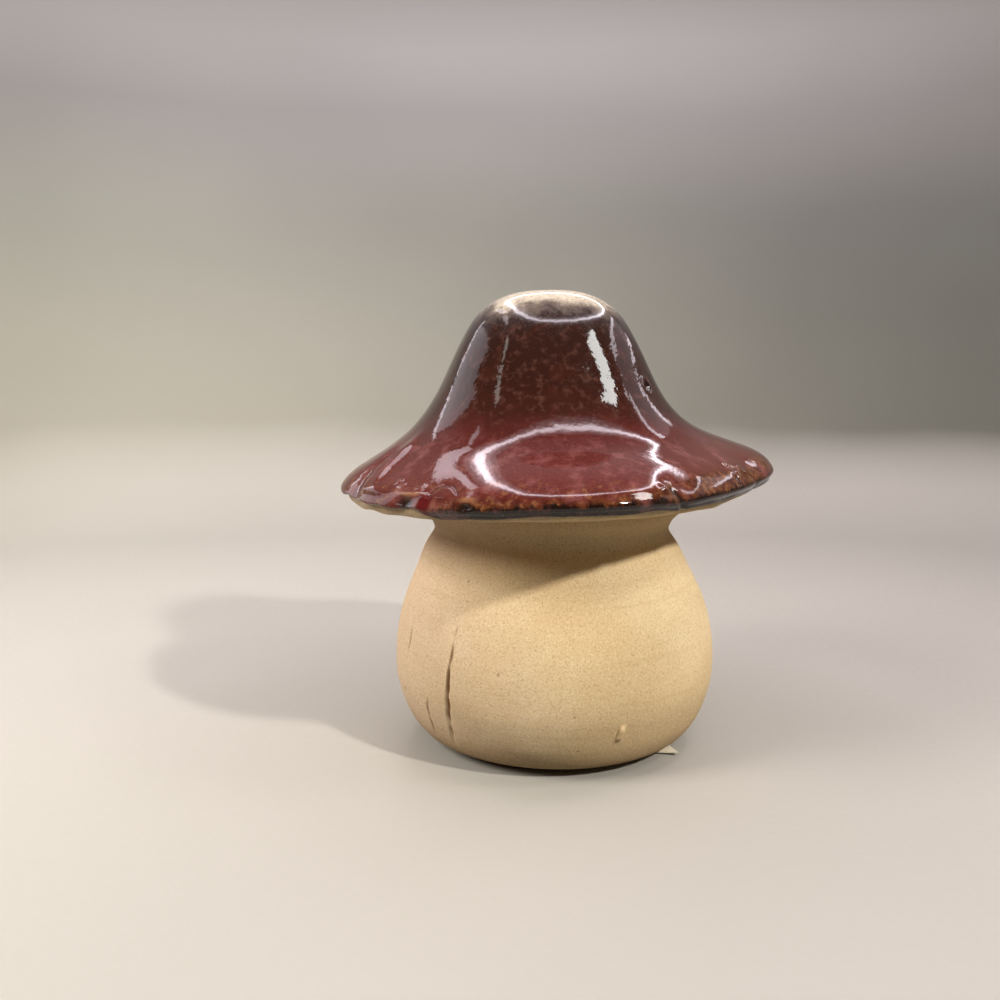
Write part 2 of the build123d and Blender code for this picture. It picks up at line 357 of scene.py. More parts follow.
def clay_finish(name, with_cuts):
    """Bare fired stoneware: warm buff, grainy, with iron specks and faint throwing lines."""
    f = Finish(name)
    broad = f.fade(f.noise(34, 2), 0.36, 0.64)
    body = f.mix(broad, tone(229, 204, 162), tone(223, 194, 149))
    # Pinker towards the left side
    side = f.fade(f.wobble(f.axis(0), f.noise(30, 2), 30), 10, -52)
    body = f.mix(side, body, tone(227, 198, 166))
    low = f.fade(f.wobble(f.axis(2), f.noise(18, 2), 7), 17, 1, 0.0, 0.55)
    body = f.mix(low, body, tone(196, 158, 118))
    cloud = f.fade(f.noise(7, 3, rough=0.6), 0.35, 0.7, 0.0, 0.22)
    body = f.mix(cloud, body, tone(206, 174, 130))
    grain = f.noise(0.55, 3, rough=0.7)
    body = f.mix(f.fade(grain, 0.47, 0.34, 0.0, 0.55), body, tone(180, 144, 102))
    body = f.mix(f.fade(grain, 0.54, 0.68, 0.0, 0.5), body, tone(246, 228, 196))
    body = f.mix(f.times(f.specks(1.9, 0.26, 0.34), 0.42), body, tone(132, 96, 60))
    body = f.mix(f.times(f.specks(7.0, 0.42, 0.25), 0.70), body, tone(100, 68, 42))
    lines = f.noise(1.0, 3, vector=f.stretch(f.place, (0.02, 0.02, 0.7)), rough=0.7)
    body = f.mix(f.fade(lines, 0.52, 0.66, 0.0, 0.16), body, tone(196, 164, 120))
    height = f.sum("ADD", f.times(grain, 0.75), f.times(lines, 0.16))
    height = f.sum("SUBTRACT", height, f.times(f.specks(1.3, 0.2, 0.35), 0.25))
    relief = f.bump(height, 0.11)
    if with_cuts:
        # Painted shade: the knife cuts are darkened along their grooves.
        cut_shade = f.mark("cut_shade")
        body = f.mix(f.fade(cut_shade, 0.10, 0.85, 0.0, 0.92), body, tone(122, 87, 55))
        dirt = f.mark("dirt")
        body = f.mix(f.fade(dirt, 0.25, 1.0, 0.0, 0.8), body, tone(104, 74, 46))
    rough = f.fade(grain, 0.3, 0.7, 0.95, 0.80)
    return f.finish(body, rough, relief, Specular_IOR_Level=0.28)


def glaze_finish():
    """The glossy coat: beige at the crown and lighter at its top with a painted reflection, dark
    brown down the dome, red brown brim, amber edge.
    """
    f = Finish("cap_glaze_gloss")
    along = f.mark("along")
    near_end = f.mark("edge")
    flow = f.mark("flow", "Vector")
    streak = f.noise(1.5, 3, vector=f.stretch(flow, (1.0, 1.0, 0.10)), rough=0.6)
    blotch = f.noise(9, 3, rough=0.55, warp=0.6)
    spotty = f.noise(2.6, 4, rough=0.62)
    speck = f.noise(0.9, 3, rough=0.7)
    zone = f.wobble(f.wobble(along, blotch, 0.07), spotty, 0.035)
    zone = f.sum("ADD", zone, f.fade(f.axis(1), -8, -24, 0.0, 0.035))
    # The crown is beige glaze; its top stops are lightened past that as a painted reflection of the
    # ceiling's glow.
    colour = f.ramp(
        zone,
        (0.0, tone(222, 210, 192)),
        (0.13, tone(206, 193, 174)),
        (0.200, tone(182, 168, 150)),
        (0.245, tone(100, 87, 80)),
        (0.285, tone(50, 38, 38)),
        (0.35, tone(43, 21, 15)),
        (0.50, tone(45, 19, 11)),
        (0.60, tone(52, 22, 14)),
        (0.70, tone(76, 29, 25)),
        (0.86, tone(87, 34, 30)),
        (1.0, tone(90, 38, 30)),
    )
    # Over the right lobe the red runs out into rust
    rusting = f.times(f.fade(f.axis(0), 20, 52, 0.0, 0.7), f.fade(zone, 0.66, 0.84))
    colour = f.mix(rusting, colour, tone(84, 38, 20))
    # The amber band and the dark bead follow the glaze's runs, so streaks break them up
    edge = f.wobble(f.sum("ADD", near_end, f.mark("amber")), streak, 0.024)
    golden = f.mix(f.fade(spotty, 0.36, 0.64), tone(102, 56, 24), tone(54, 25, 12))
    colour = f.mix(f.fade(f.wobble(edge, spotty, 0.02), 0.940, 0.968, 0.0, 0.9), colour, golden)
    rusty = f.fade(along, 0.86, 0.93)
    colour = f.mix(f.times(f.fade(spotty, 0.50, 0.62, 0.0, 0.6), rusty), colour, tone(72, 26, 16))
    ochre = f.times(f.fade(spotty, 0.46, 0.38, 0.0, 0.5), rusty)
    colour = f.mix(ochre, colour, tone(128, 88, 56))
    bead = f.wobble(near_end, streak, 0.030)
    colour = f.mix(f.fade(bead, 0.962, 0.974), colour, tone(24, 13, 9))
    # Pale spots float in the dark of the dome
    spots = f.fade(f.noise(2.4, 4, rough=0.65), 0.48, 0.74, 0.0, 0.42)
    dome = f.times(f.fade(along, 0.24, 0.31), f.fade(along, 0.68, 0.56))
    colour = f.mix(f.times(spots, dome), colour, tone(104, 68, 58))
    colour = f.mix(f.times(f.fade(blotch, 0.52, 0.68, 0.0, 0.45), dome), colour, tone(62, 26, 15))
    # Fine speckle: dark pepper in the pale crown, rust and black in the brim
    pepper = f.fade(speck, 0.52, 0.66, 0.0, 0.6)
    crown = f.fade(along, 0.34, 0.24)
    colour = f.mix(f.times(pepper, crown), colour, tone(92, 78, 68))
    cloud = f.fade(f.noise(6, 4, rough=0.6), 0.48, 0.72, 0.0, 0.55)
    colour = f.mix(f.times(cloud, f.fade(along, 0.62, 0.72)), colour, tone(128, 76, 74))
    rust = f.fade(speck, 0.54, 0.70, 0.0, 0.28)
    brim = f.fade(along, 0.55, 0.70)
    colour = f.mix(f.times(rust, brim), colour, tone(132, 70, 48))
    soot = f.fade(speck, 0.46, 0.34, 0.0, 0.45)
    colour = f.mix(f.times(soot, brim), colour, tone(54, 22, 18))
    # It pools dark in the creases and thins to pale pink over their crests
    colour = f.mix(f.fade(f.mark("pool"), 0.1, 0.7, 0.0, 0.92), colour, tone(30, 16, 11))
    colour = f.mix(f.fade(f.mark("thin"), 0.15, 0.85, 0.0, 0.5), colour, tone(178, 126, 88))
    drip = f.fade(f.wobble(f.mark("drip"), spotty, 0.25), 0.35, 0.75, 0.0, 0.9)
    colour = f.mix(drip, colour, tone(84, 16, 18))
    ripple = f.sum("SUBTRACT", f.noise(3.4, 2, rough=0.5), 0.5)
    calm = f.times(f.fade(along, 0.30, 0.40, 0.15, 1.0), f.fade(along, 0.50, 0.60, 1.0, 0.28))
    peel = f.noise(1.1, 2, rough=0.5)
    relief = f.bump(peel, 0.007, f.bump(f.times(ripple, calm), 0.11))
    rough = f.fade(speck, 0.35, 0.75, 0.035, 0.12)
    return f.finish(colour, rough, relief, IOR=1.46)


def paper_finish():
    """Cream label paper, a little yellowed, with faint fibres."""
    f = Finish("label_paper")
    fibre = f.noise(0.6, 4, vector=f.stretch(f.place, (1.0, 2.5, 1.0)), rough=0.7)
    body = f.mix(f.fade(fibre, 0.35, 0.7), tone(238, 232, 214), tone(226, 217, 194))
    edge = f.fade(f.noise(3, 3), 0.5, 0.7, 0.0, 0.5)
    body = f.mix(edge, body, tone(214, 200, 168))
    return f.finish(body, f.fade(fibre, 0.3, 0.7, 0.75, 0.9), f.bump(fibre, 0.04))


# ---------------------------------------------------------------- the stem
CLAY = clay_finish("stem_clay", True)
CAP_CLAY = clay_finish("cap_clay", False)

# Cuts: (angle, height) along each, then half width and depth
CUTS = (
    (
        ((-128.6, 46.0), (-128.8, 42.0), (-129.2, 36.0), (-129.9, 31.0), (-129.8, 26.9),
         (-130.0, 20.1), (-130.8, 14.0), (-131.7, 7.0)),
        0.68, 0.95,
    ),
    (((-128.6, 20.0), (-129.0, 14.0), (-129.8, 8.0)), 0.40, 0.20),
    (((-139.9, 21.5), (-141.6, 15.6), (-141.3, 13.1), (-142.2, 8.0)), 0.34, 0.7),
    (((-153.2, 42.5), (-153.5, 36.4), (-154.0, 30.5)), 0.42, 0.62),
    (((-157.7, 20.6), (-158.3, 18.0)), 0.45, 0.45),
    (((-71.3, 17.6), (-71.9, 15.2), (-72.8, 12.0)), 0.30, 0.34),
    (((-65.6, 16.0), (-64.6, 11.4)), 0.35, 0.14),
)
# Dark specks: angle, height and size of each
SPECKS = (
    (-86.2, 22.2, 0.5), (-84.3, 10.8, 0.6), (-82.6, 30.2, 0.35), (-110.8, 33.0, 0.7),
    (-86.9, 23.0, 0.3), (-158.6, 23.5, 0.5), (-98.0, 12.4, 0.3),
)
THROWN_WAVE = 0.07
THROWN_LINE = 0.008
CUT_WANDER = 0.12
CUT_SHOULDER = 0.10
NIB_RISE = 1.0
NIB_HALF_WIDTH = 0.9
SPECK_DEPTH = 0.12

angles = spread_angles(0.95, 0.30, ((-159.5, -127.0), (-74.5, -68.0)))
shares = np.linspace(0, 1, 2000)
line = smooth_line(STEM_LINE, shares)
heights = np.concatenate(
    [np.linspace(0.0, 3.5, 12)[:-1], np.arange(3.5, 50, 0.62), np.linspace(50, 72, 26)]
)
share_rows = np.interp(heights, line[:, 1], shares)
seat_rise = np.tan(LEAN) * (RIM_REACH * np.cos(np.radians(angles)) + CAP_SHIFT)
share_top = np.interp(SEAT_HEIGHT + seat_rise, line[:, 1], shares)
climb = np.linspace(0, 1, 8)[1:, None]
lip_shares = share_rows[-1] + (share_top[None] - 0.012 - share_rows[-1]) * climb
share_grid = np.concatenate([np.repeat(share_rows[:, None], len(angles), 1), lip_shares])
outer = smooth_line(STEM_LINE, share_grid)
radius, height = outer[..., 0], outer[..., 1]
turns = np.radians(angles)[None]

cut_shade_mark = np.zeros_like(radius)
dirt_mark = np.zeros_like(radius)
relief = THROWN_WAVE * soft_noise(3, height, angles[None], 0.10, 5, 9)
relief = relief + THROWN_LINE * np.sin(height * 2.1 + 0.8 * np.sin(turns))
wander = soft_noise(8, height, angles[None] * 0, 0.9, 1, 6)
for path, half_width, depth in CUTS:
    path = np.array(path)[::-1]
    low, high = path[0, 1], path[-1, 1]
    centre = np.interp(height, path[:, 1], path[:, 0]) + CUT_WANDER * wander
    inside = np.clip((height - low) / (high - low), 0, 1)
    strength = np.sin(pi * inside) ** 0.55 * ((height > low) & (height < high))
    strength = strength * (0.82 + 0.18 * soft_noise(12, height, angles[None] * 0, 1.4, 1, 8))
    across = turn_away(angles[None], centre) * pi / 180 * radius / half_width
    groove = bell(across) * strength
    shoulder = bell((np.abs(across) - 1.9) / 0.7) * strength
    relief = relief - depth * groove + CUT_SHOULDER * depth * shoulder
    # The cut mark paints shade into the groove.
    cut_shade_mark = np.maximum(cut_shade_mark, groove * min(1.0, depth * 1.5))
# The nib of clay beside the small groove
nib_centre = np.interp(height, (12.8, 18.2), (-70.6, -69.6))
nib_across = turn_away(angles[None], nib_centre) * pi / 180 * radius / NIB_HALF_WIDTH
nib_along = smooth((height - 13.0) / 1.0) * smooth((18.3 - height) / 1.0)
relief = relief + NIB_RISE * np.clip(1 - nib_across ** 2, 0, 1) ** 0.5 * nib_along
for angle, level, size in SPECKS:
    aside = turn_away(angles[None], angle) * pi / 180 * radius
    gap = np.hypot(aside, (height - level) * 1.2) / size
    dirt_mark = np.maximum(dirt_mark, bell(gap))
    relief = relief - SPECK_DEPTH * bell(gap)

slide = -STEM_SHIFT * smooth((height - 42.0) / 24.0)
out = radius + relief * smooth(height / 3.0)
outer_rings = np.stack([out * np.cos(turns) + slide, out * np.sin(turns), height], -1)


def seat_to_row(local):
    """Points measured from the cap's seat, in the ornament's own frame."""
    x, z = local[..., 0], local[..., 2]
    return np.stack(
        [
            x * cos(LEAN) - z * sin(LEAN) - CAP_SHIFT,
            local[..., 1],
            x * sin(LEAN) + z * cos(LEAN) + SEAT_HEIGHT,
        ],
        -1,
    )


def seat_ring(radius, height, angles):
    """A circle about the cap's axis."""
    return seat_to_row(flat_ring(radius, height, angles))


def rim_ring(reach):
    """A circle about the stem's own middle, in the plane of the cap's seat."""
    ring = flat_ring(reach, 0.0, angles)
    ring[:, 0] -= STEM_SHIFT
    ring[:, 2] = SEAT_HEIGHT + np.tan(LEAN) * (ring[:, 0] + CAP_SHIFT)
    return ring


# The rim: a rounded outer edge, a flat land and a rounded inner edge at the bore
corner, land = rim_ring(RIM_CORNER), rim_ring(RIM_LAND)
last = outer_rings[-1]
rim = []
for step in np.linspace(0, 1, 7)[1:]:
    rim.append(last * (1 - step) ** 2 + corner * 2 * step * (1 - step) + land * step ** 2)
bore_top = seat_ring(BORE_RADIUS + BORE_ROUND, 0.0, angles)
rim += [land + (bore_top - land) * step / 4 for step in range(1, 5)]
for step in (0.35, 0.7, 1.0):
    turn = step * pi / 2
    rounded = BORE_RADIUS + BORE_ROUND - BORE_ROUND * sin(turn)
    rim.append(seat_ring(rounded, -BORE_ROUND + BORE_ROUND * cos(turn), angles))
for depth in (1.5, 3.0, 5.0, 7.0, 9.0):
    rim.append(seat_ring(BORE_RADIUS, -depth, angles))

# Inside: the hollow follows the outer line one wall further in, down to the turned floor
slopes = np.gradient(line, axis=0)
slopes /= np.hypot(*slopes.T)[:, None]
inner_line = line + np.stack([-slopes[:, 1], slopes[:, 0]], -1) * STEM_WALL
hollow = []
for level in np.linspace(64.0, 13.0, 22):
    reach = np.interp(level, inner_line[200:1750, 1], inner_line[200:1750, 0])
    ridge = 0.25 * sin(level * 1.3)
    hollow.append(flat_ring(reach + ridge, level, angles))
turned_floor = (
    (41.5, 10.6), (39.0, 8.8), (35.0, 7.5), (30.0, 7.0), (24.0, 7.25), (19.0, 6.95), (14.0, 7.25),
    (9.0, 6.95), (5.0, 7.2), (2.0, 7.3),
)
for reach, level in turned_floor:
    hollow.append(flat_ring(reach, level, angles))
foot = [outer_rings[0] * share for share in (0.35, 0.7, 0.93)]
stem_rings = np.stack(foot + list(outer_rings) + rim + hollow)
fill_before = len(foot)
fill_after = len(stem_rings) - len(outer_rings) - fill_before


def padded(values):
    """A mark of the outer rows, with nothing on the rows before and after them."""
    return np.pad(values, ((fill_before, fill_after), (0, 0)))


round_mesh(
    "stem", stem_rings, (np.zeros(3), np.array([0.0, 0.0, FLOOR_LEVEL])),
    "stem", "stem_pot", CLAY,
    {"cut_shade": padded(cut_shade_mark), "dirt": padded(dirt_mark)},
)

# ---------------------------------------------------------------- the cap's glaze
crown_points = np.array(CROWN_LINE) * (BRIM_RADIUS, CAP_HEIGHT)
mirrored = crown_points[1] * (-1, 1)
crown_fine = smooth_line(np.concatenate([[mirrored], crown_points]), np.linspace(0, 1, 4000))
crown_fine = crown_fine[np.argmax(crown_fine[:, 0] >= 0):]
crown_fine[0, 0] = 0.0
run = np.concatenate([[0], np.cumsum(np.hypot(*np.diff(crown_fine, axis=0).T))])
run /= run[-1]
lean_in = np.gradient(crown_fine, axis=0)
lean_in /= np.hypot(*lean_in.T)[:, None]


def crown_at(share, inset):
    """Radius and height on the crown's line at a share of its length, moved inwards."""
    radius = np.interp(share, run, crown_fine[:, 0])
    height = np.interp(share, run, crown_fine[:, 1])
    across = np.interp(share, run, lean_in[:, 0])
    down = np.interp(share, run, lean_in[:, 1])
    return radius + down * inset, height - across * inset


def brim_form(radius, height, angles, fold_start):
    """Places on the cap, with the brim's waves and folds growing towards the edge."""
    weight = smooth((radius - fold_start) / (BRIM_RADIUS - fold_start))
    pinch = smooth((radius - 0.83 * BRIM_RADIUS) / (0.15 * BRIM_RADIUS))
    turn = np.radians(angles)
    reach = np.zeros_like(turn)
    lift = np.zeros_like(turn)
    sink = np.zeros_like(turn)
    for count, reach_cos, reach_sin, lift_cos, lift_sin in BRIM_WAVES:
        along, across = np.cos(count * turn), np.sin(count * turn)
        reach = reach + (reach_cos * along + reach_sin * across) * BRIM_RADIUS
        lift = lift + (lift_cos * along + lift_sin * across) * BRIM_RADIUS
    for centre, half_width, depth in BRIM_FOLDS:
        sink = sink + depth * BRIM_RADIUS * bell(turn_away(angles, centre) / half_width)
    out = radius + weight * reach - pinch * sink
    rise = weight * lift - pinch * sink / 2
    return np.stack([out * np.cos(turn), out * np.sin(turn), height + rise], -1)


def pushed(points, relief):
    """The sheet of points moved out along its own normals."""
    around = np.roll(points, -1, axis=1) - np.roll(points, 1, axis=1)
    down = np.gradient(points, axis=0)
    normal = np.cross(down, around)
    normal /= np.linalg.norm(normal, axis=-1, keepdims=True) + 1e-9
    if normal[2, 0, 2] < 0:
        normal = -normal
    return points + normal * relief[..., None]


# Runs of glaze that cross the bare band: angle, half width, how much further down they end
DRIPS = ((-124.2, 2.1, 0.008), (33.0, 1.8, 0.012), (118.0, 1.6, 0.014))
# Scallops in the brim's edge: angle, level and size of each dark hollow below a pale rolled rim
SCALLOPS = ((-130.4, 0.960, 1.0), (-112.0, 0.967, 0.75), (48.0, 0.962, 0.9), (135.0, 0.966, 0.8))
# Pinched creases: path, half width, depth, and the side of the rolled crest
PINCHES = (
    (((-59.6, 0.99), (-60.6, 0.965), (-62.6, 0.935)), 1.1, 1.0, -1),
    (((-20.5, 0.985), (-22.5, 0.95), (-26.5, 0.915), (-29.0, 0.892)), 1.1, 0.8, -1),
    (((-33.4, 0.96), (-32.6, 0.94)), 1.0, 0.6, 1),
    (((-88.0, 0.99), (-88.4, 0.972)), 0.8, 0.25, -1),
    (((28.0, 0.99), (27.0, 0.95), (25.0, 0.91)), 1.2, 0.9, 1),
    (((71.0, 0.99), (72.0, 0.95), (73.5, 0.92)), 1.1, 0.8, -1),
    (((92.0, 0.99), (91.0, 0.955)), 1.0, 0.5, 1),
    (((112.0, 0.99), (111.0, 0.95), (108.0, 0.90)), 1.2, 0.9, -1),
    (((150.0, 0.99), (151.0, 0.95), (152.5, 0.91)), 1.2, 0.9, 1),
    (((176.0, 0.985), (175.0, 0.95)), 1.0, 0.5, -1),
)
# Small bumps and bubbles: angle, level, half width in degrees and rise
BUMPS = (
    (-137.3, 0.884, 1.0, 0.30), (-134.6, 0.90, 1.1, 0.22), (-28.6, 0.900, 1.5, 0.5),
    (-25.2, 0.925, 1.4, 0.45), (-127.6, 0.905, 1.3, 0.22), (-66.0, 0.955, 1.5, 0.18),
    (14.0, 0.93, 1.6, 0.4), (60.0, 0.91, 1.3, 0.3), (127.0, 0.90, 1.5, 0.35),
    (163.0, 0.93, 1.4, 0.3),
)
# Degrees round the brim that are as long as the whole line from crown to lip
LINE_SCALE = 90.0
# Heights and depths of the glaze's relief, in millimetres
SCALLOP_DEPTH = 1.25
SCALLOP_CREST = 0.45
ARCH_RISE = 0.40
ARCH_CREASE = 0.16
CREASE_DEPTH = 0.75
CREASE_CREST = 0.6
RIDGE_RISE = 1.3
VALLEY_DEPTH = 1.1
BUBBLE_DEPTH = 1.05
BUBBLE_RIM = 0.32
DRIP_RISE = 0.30
FLUTE_RISE = 0.10
GLAZE_WAVE = 0.07
SHOULDER_RISE = 0.34
FRONT_DROP = 0.95
FRONT_RISE = 0.50
MOST_RISE = 0.9
# How far the bead hangs over the lip, where the glaze ran thin and on top of that elsewhere
THIN_HANG = 0.35
BEAD_HANG = 0.85
# The share of the line where the glaze stops, and how much shorter it falls where it ran thin
GLAZE_END = 0.9965
END_WAVE = 0.0015
STARVED_STEP = 0.028
# The line's length in millimetres, as the drips take it and as the runs of colour do
DRIP_SCALE = 85.0
RUN_SCALE = 100.0


def spot(share, wide, angle, level, wide_by, tall_by):
    """A soft round mark on the cap, sized in degrees and in shares of its line."""
    return bell(np.hypot(turn_away(wide, angle) / wide_by, (share - level) / tall_by))


def trail(share, wide, points, half_width):
    """A soft mark along a path of (angle, share) points, half_width in degrees."""
    total = np.zeros(np.broadcast(share, wide).shape)
    for one, two in zip(points, points[1:]):
        start = turn_away(wide, one[0])
        leg = turn_away(two[0], one[0])
        rise = (two[1] - one[1]) * LINE_SCALE
        climb = (share - one[1]) * LINE_SCALE
        part = np.clip((start * leg + climb * rise) / (leg ** 2 + rise ** 2), 0, 1)
        gap = np.hypot(start - part * leg, climb - part * rise)
        total = np.maximum(total, bell(gap / half_width))
    return total


def cap_relief(share, wide):
    """How far the glaze stands proud of the plain cap, and where it pools, thins and has run."""
    bump = np.zeros(np.broadcast(share, wide).shape)
    pool = np.zeros_like(bump)
    thin = np.zeros_like(bump)
    drip = np.zeros_like(bump)
    for angle, level, size in SCALLOPS:
        pit = spot(share, wide, angle, level, 3.0 * size, 0.020 * size)
        crest = spot(share, wide, angle + 0.4, level - 0.030 * size, 4.2 * size, 0.009)
        bump += -SCALLOP_DEPTH * size * pit + SCALLOP_CREST * size * crest
        pool = np.maximum(pool, 0.9 * pit)
        thin = np.maximum(thin, 0.8 * crest)
    # The arched fold between the two scallops in front
    arch_path = (
        (-123.3, 0.950), (-123.1, 0.925), (-122.2, 0.902), (-120.6, 0.888), (-118.5, 0.888),
        (-116.5, 0.901), (-115.0, 0.922),
    )
    arch = trail(share, wide, arch_path, 0.55)
    bump += ARCH_RISE * spot(share, wide, -119.0, 0.938, 3.2, 0.032) - ARCH_CREASE * arch
    pool = np.maximum(pool, 0.40 * arch)
    for path, half_width, depth, side in PINCHES:
        groove = trail(share, wide, path, half_width)
        moved = [(angle + side * half_width * 2.0, level - 0.006) for angle, level in path]
        crest = trail(share, wide, moved, half_width * 1.1)
        bump += -CREASE_DEPTH * depth * groove + CREASE_CREST * depth * crest
        pool = np.maximum(pool, 0.75 * groove * depth)
        thin = np.maximum(thin, 0.4 * crest * depth)
    # The ridge that hides the far left lobe, running up towards the dome
    ridge_path = ((-154.5, 0.66), (-152.5, 0.77), (-151.5, 0.85), (-148.0, 0.93), (-143.0, 0.965))
    bump += RIDGE_RISE * trail(share, wide, ridge_path, 3.6) * smooth((share - 0.62) / 0.2)
    valley_path = ((-161.0, 0.78), (-158.5, 0.88), (-154.0, 0.96))
    bump -= VALLEY_DEPTH * trail(share, wide, valley_path, 3.6)
    pool = np.maximum(pool, 0.34 * trail(share, wide, valley_path, 3.0))
    crest_path = ((-154.5, 0.80), (-152.5, 0.88), (-149.0, 0.95))
    thin = np.maximum(thin, 0.45 * trail(share, wide, crest_path, 0.8))
    for angle, level, size, rise in BUMPS:
        mound = spot(share, wide, angle, level, size, size * 0.0105)
        bump += rise * mound
        thin = np.maximum(thin, 0.55 * mound * min(1, rise * 2))
    # The burst bubble on the dome's right
    gap = np.hypot(turn_away(wide, -32.2) * 0.58, (share - 0.503) * 106.0)
    bump += -BUBBLE_DEPTH * bell(gap / 1.35) + BUBBLE_RIM * bell((gap - 2.3) / 0.6)
    pool = np.maximum(pool, bell((gap - 1.5) / 0.5))
    for angle, half_width, _ in DRIPS:
        streak = bell(turn_away(wide, angle) / half_width) * smooth((share - 0.915) / 0.03)
        bump += DRIP_RISE * streak
        drip = np.maximum(drip, streak)
    # A soft flute on the dome, left by a finger
    flute_path = ((-120.0, 0.30), (-117.0, 0.42), (-116.5, 0.55), (-122.0, 0.68))
    bump += FLUTE_RISE * trail(share, wide, flute_path, 4.5)
    bump += GLAZE_WAVE * soft_noise(31, share * 12, wide, 0.9, 9, 16) * smooth((share - 0.25) / 0.2)
    # The dome's shoulder is a little fuller all round
    bump += SHOULDER_RISE * bell((share - 0.28) / 0.09)
    # The brim turns out a little lower than the plain curve in front
    bump -= FRONT_DROP * bell((share - 0.70) / 0.075) * bell(turn_away(wide, -82.0) / 45.0)
    bump += FRONT_RISE * bell(turn_away(wide, -105.0) / 5.5) * smooth((share - 0.80) / 0.10)
    bump *= smooth((share - 0.01) / 0.08)
    # Nothing stands out past the CAD's own coat at the widest part and at the top
    bump = np.minimum(bump, MOST_RISE * smooth((share - 0.1) / 0.3))
    outline = smooth((share - 0.935) / 0.02)
    bump = np.where(bump > 0, bump * (1 - 0.95 * outline), bump)
    return bump, pool, thin, drip


def clay_ring(level, angles, end):
    """One ring of the clay under the glaze, sunk with the glaze where that is sunk."""
    bead = smooth((level - BEAD_START) / (1 - BEAD_START))
    depth = GLAZE_DEPTH + (BEAD_DEPTH - GLAZE_DEPTH) * bead
    share = level * end * np.ones_like(angles)
    sunk = np.minimum(cap_relief(share[None], angles[None])[0][0], 0.0)
    r, z = crown_at(share, depth - sunk)
    return brim_form(r, z, angles, FOLD_START)


cap_angles = spread_angles(0.9, 0.36, ((-172.0, -8.0),))
wide = cap_angles[None]
# Where the glaze stops, a little higher or lower all round
end = GLAZE_END + END_WAVE * soft_noise(21, 0.0, cap_angles, 0.0, 38, 14)
starved = smooth((42.0 - np.abs(turn_away(cap_angles, -161.0))) / 7.0)
starved = np.maximum(starved, smooth((12.0 - np.abs(turn_away(cap_angles, 52.0))) / 8.0))
end = end - starved * (STARVED_STEP + 0.004 * soft_noise(23, 0.0, cap_angles, 0.0, 40, 10))
row_shares = np.concatenate([np.linspace(0.012, 0.87, 92), np.linspace(0.87, 1.0, 46)[1:]])
share = row_shares[:, None] * (1 + (end[None] - 1) * smooth((row_shares[:, None] - 0.8) / 0.2))
radius, height = crown_at(share, 0.0)
sheet = brim_form(radius, height, np.broadcast_to(wide, radius.shape), FOLD_START)
bump, pool, thin, drip = cap_relief(share, wide)
outer_sheet = pushed(sheet, bump)
# The rolled lower edge, then back up along the clay
run_down = np.zeros_like(cap_angles)
for angle, half_width, more in DRIPS:
    run_down = run_down + more * DRIP_SCALE * bell(turn_away(cap_angles, angle) / half_width)
# The bead hangs over the lip, but hardly where the glaze ran thin
hang = THIN_HANG + (BEAD_HANG + 0.12 * soft_noise(61, 0.0, cap_angles, 0.0, 26, 12)) * (1 - starved)
inner_edge = clay_ring(1.0, cap_angles, end)
outer_edge = outer_sheet[-1]
middle = (outer_edge + inner_edge) / 2
half = (outer_edge - inner_edge) / 2
rolled = []
for step in np.linspace(0, 1, 8)[1:-1]:
    turn = step * pi
    ring = middle + half * cos(turn)
    ring[:, 2] -= (hang + run_down) * sin(turn)
    rolled.append(ring)
inner_rows = []
for level in np.concatenate([np.linspace(1.0, 0.9, 9), np.linspace(0.88, 0.02, 30)]):
    inner_rows.append(clay_ring(level, cap_angles, end))
glaze_rings = np.concatenate([outer_sheet, np.stack(rolled), np.stack(inner_rows)])

turn = np.radians(np.broadcast_to(wide, share.shape))
spoke = np.stack([BRIM_RADIUS * np.cos(turn), BRIM_RADIUS * np.sin(turn), share * RUN_SCALE], -1)
amber = 0.036 * bell(turn_away(wide, -35.0) / 38.0) - 0.018 * bell(turn_away(wide, -135.0) / 30.0)
amber = np.broadcast_to(amber, share.shape) + 0.01 * soft_noise(44, share * 0, wide, 0.1, 12, 9)
near_end = share + (GLAZE_END - end[None]) * smooth((share - 0.85) / 0.12) - 0.050 * starved[None]
top_out = np.array([0.0, 0.0, CAP_HEIGHT])
top_in = np.array([0.0, 0.0, CAP_HEIGHT - GLAZE_DEPTH])
glaze_marks = {
    "along": share, "edge": near_end, "flow": spoke, "amber": amber, "pool": pool, "thin": thin,
    "drip": drip,
}
# The last row's marks carry on to the rows behind it
tail = len(glaze_rings) - len(share)
for mark, values in glaze_marks.items():
    glaze_marks[mark] = np.concatenate([values, np.repeat(values[-1:], tail, 0)])
round_mesh(
    "glaze", seat_to_row(glaze_rings), (seat_to_row(top_out), seat_to_row(top_in)),
    "cap", "cap_glaze", glaze_finish(), glaze_marks,
)

# ---------------------------------------------------------------- the cap's clay
clay_angles = spread_angles(0.9, 0.6, ((-172.0, -8.0),))
clay_rows = []
for level in np.concatenate([np.linspace(0.02, 0.86, 40), np.linspace(0.87, 1.0, 16)]):
    clay_rows.append(clay_ring(level, clay_angles, 1.0))
lip_line = (
    (63.9, 3.30), (63.2, 2.9), (62.3, 2.67), (61.2, 2.42), (60.0, 2.22), (58.4, 1.95), (57.0, 1.72),
)
scraped = 0.12 * soft_noise(55, 0.0, clay_angles, 0.0, 30, 12)
for r, z in lip_line:
    even = np.ones_like(clay_angles)
    ring = brim_form(r * even, z * even, clay_angles, HOLLOW_RADIUS)
    ring[:, 2] += scraped * smooth((r - HOLLOW_RADIUS) / 3.0)
    clay_rows.append(ring)
shares_in = np.linspace(1, 0, 400)
r_in, z_in = crown_at(shares_in, GLAZE_DEPTH + CAP_WALL)
keep = (z_in > 7.2) & (r_in < 54.0) & (shares_in < 0.86)
r_in, z_in = r_in[keep], z_in[keep]
for r, z in ((55.8, 4.1), (54.5, 6.7)):
    clay_rows.append(flat_ring(r, z, clay_angles))
